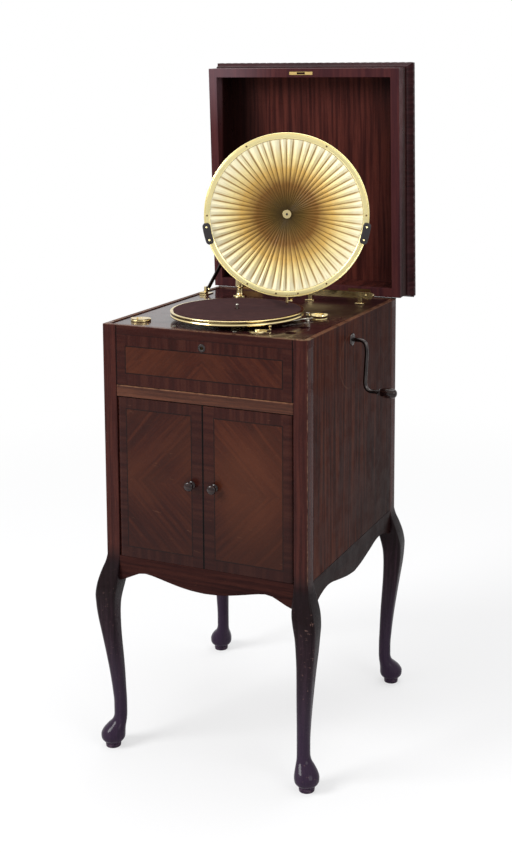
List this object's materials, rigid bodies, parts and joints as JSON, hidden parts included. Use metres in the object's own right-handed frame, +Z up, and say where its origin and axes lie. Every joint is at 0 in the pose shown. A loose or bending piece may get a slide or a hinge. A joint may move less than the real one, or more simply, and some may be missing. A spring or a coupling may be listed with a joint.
{
  "type": "gramophone cabinet",
  "caption": "Wooden cabinet on cabriole legs with a lid held open, a turntable and a large pleated round diaphragm on a swinging arm, doors below and a crank at the side.",
  "frame": {"origin": "middle of the underside of the whole outline, on the floor", "axes": "+X to the right seen from the front, where the crank is, +Y to the back, +Z up; the doors face -Y"},
  "size_m": [0.6292, 0.6868, 1.5816],
  "materials": {
    "dark_mahogany": "polished, worn on the edges",
    "case_veneer": "polished veneer",
    "plain_wood": "oiled, inside and back",
    "turned_wood": "dark polish",
    "brass": "polished, a little dulled",
    "steel": "satin",
    "motor_iron": "plain",
    "baize": "worn pile",
    "pleated_paper": "lacquered gold paper",
    "black_pad": "dull black"
  },
  "bodies": {
    "cabinet": {"leg_front_left": "dark_mahogany", "leg_front_right": "dark_mahogany", "leg_rear_left": "dark_mahogany", "leg_rear_right": "dark_mahogany", "side_panel_left": "case_veneer", "side_panel_right": "case_veneer", "back_panel": "plain_wood", "upper_front_panel": "case_veneer", "middle_rail_front": "case_veneer", "apron_front": "dark_mahogany", "apron_back": "dark_mahogany", "apron_left": "dark_mahogany", "apron_right": "dark_mahogany", "bottom_board": "plain_wood", "motor_shelf": "plain_wood", "motor_board": "case_veneer", "hinge_left_fixed_leaf": "brass", "hinge_right_fixed_leaf": "brass", "lid_stay_foot": "brass", "lid_lock": "brass", "keyhole_escutcheon": "brass", "crank_bush": "brass", "motor_frame": "motor_iron", "speed_dial": "brass", "needle_bowl_open": "brass", "needle_bowl_covered": "brass", "arm_pillar": "brass", "rear_rest_rail": "brass"},
    "lid": {"lid_frame": "case_veneer", "lid_panel": "case_veneer", "lid_moulding": "dark_mahogany", "lid_strike_plate": "brass", "hinge_left_lid_leaf": "brass", "hinge_right_lid_leaf": "brass", "lid_stay_stud": "brass"},
    "stay": {"lid_stay_bar": "brass"},
    "bolt": {"lock_bolt": "brass"},
    "left_door": {"door_left": "case_veneer", "door_knob_left": "turned_wood"},
    "right_door": {"door_right": "case_veneer", "door_knob_right": "turned_wood"},
    "crank": {"crank_rod": "steel"},
    "grip": {"crank_grip": "turned_wood"},
    "platter": {"turntable": "brass", "turntable_cloth": "baize", "turntable_spindle": "steel"},
    "train": {"train_wheel": "brass"},
    "barrel": {"spring_barrel": "brass"},
    "winder": {"winding_wheel": "steel"},
    "governor_shaft": {"governor": "steel"},
    "speed": {"speed_lever": "brass"},
    "brake": {"brake_lever": "steel"},
    "bowl_cover": {"needle_bowl_lid": "brass"},
    "arm": {"tone_arm": "brass"},
    "reproducer": {"yoke": "brass", "diaphragm_ring": "brass", "pleated_diaphragm": "pleated_paper", "ring_pad_right": "black_pad", "ring_pad_left": "black_pad", "stylus_lever": "brass"}
  },
  "joints": [
    {"name": "lid_hinge", "type": "hinge", "parent": "cabinet", "child": "lid", "pos_m": [-0.04191, 0.24462, 0.9982], "axis": [1, 0, 0], "range_deg": [0, 32]},
    {"name": "stay_pivot", "type": "hinge", "parent": "cabinet", "child": "stay", "pos_m": [-0.26391, 0.13532, 1.008], "axis": [1, 0, 0], "range_deg": [0, 14.5]},
    {"name": "bolt_slide", "type": "slide", "parent": "cabinet", "child": "bolt", "axis": [0, 0, 1], "range_m": [0, 0.006]},
    {"name": "left_door_hinge", "type": "hinge", "parent": "cabinet", "child": "left_door", "pos_m": [-0.24841, -0.31068, 0.65], "axis": [0, 0, -1], "range_deg": [0, 90]},
    {"name": "right_door_hinge", "type": "hinge", "parent": "cabinet", "child": "right_door", "pos_m": [0.16459, -0.31068, 0.65], "axis": [0, 0, 1], "range_deg": [0, 90]},
    {"name": "crank_turn", "type": "hinge", "parent": "cabinet", "child": "crank", "pos_m": [0.20709, -0.06168, 0.9526], "axis": [1, 0, 0], "continuous": true},
    {"name": "grip_turn", "type": "hinge", "parent": "crank", "child": "grip", "pos_m": [0.27809, -0.06168, 0.8361], "axis": [1, 0, 0], "continuous": true},
    {"name": "platter_spin", "type": "hinge", "parent": "cabinet", "child": "platter", "pos_m": [-0.04191, -0.14468, 1.008], "axis": [0, 0, -1], "continuous": true},
    {"name": "train_spin", "type": "hinge", "parent": "cabinet", "child": "train", "pos_m": [-0.00606, -0.1228, 0.953], "axis": [0, 0, -1], "continuous": true},
    {"name": "barrel_spin", "type": "hinge", "parent": "cabinet", "child": "barrel", "pos_m": [-0.04712, -0.08773, 0.928], "axis": [0, 0, -1], "continuous": true},
    {"name": "governor_spin", "type": "hinge", "parent": "cabinet", "child": "governor_shaft", "pos_m": [-0.04191, -0.16418, 0.928], "axis": [1, 0, 0], "continuous": true},
    {"name": "winder_spin", "type": "hinge", "parent": "cabinet", "child": "winder", "pos_m": [-0.04712, -0.08773, 0.953], "axis": [0, 0, 1], "continuous": true},
    {"name": "speed_set", "type": "hinge", "parent": "cabinet", "child": "speed", "pos_m": [0.06169, -0.25568, 0.998], "axis": [0, 0, 1], "range_deg": [-45, 8]},
    {"name": "brake_swing", "type": "hinge", "parent": "cabinet", "child": "brake", "pos_m": [0.11409, -0.10068, 0.998], "axis": [0, 0, 1], "range_deg": [-6, 6]},
    {"name": "bowl_cover_turn", "type": "hinge", "parent": "cabinet", "child": "bowl_cover", "pos_m": [-0.23291, -0.25018, 0.998], "axis": [0, 0, 1], "range_deg": [0, 175]},
    {"name": "arm_swing", "type": "hinge", "parent": "cabinet", "child": "arm", "pos_m": [-0.17391, 0.13832, 1.028], "axis": [0, 0, -1], "range_deg": [-8, 11]},
    {"name": "reproducer_fold", "type": "hinge", "parent": "arm", "child": "reproducer", "pos_m": [0.05268, -0.07791, 1.048], "axis": [0.9186, 0.3952, 0], "range_deg": [-86, 0]}
  ],
  "couplings": [
    {"joint": "stay_pivot", "follows": "lid_hinge", "ratio": 0.45},
    {"joint": "train_spin", "follows": "platter_spin", "ratio": -0.23529},
    {"joint": "barrel_spin", "follows": "platter_spin", "ratio": 0.040921},
    {"joint": "governor_spin", "follows": "platter_spin", "ratio": 12},
    {"joint": "winder_spin", "follows": "crank_turn", "ratio": 0.05}
  ]
}
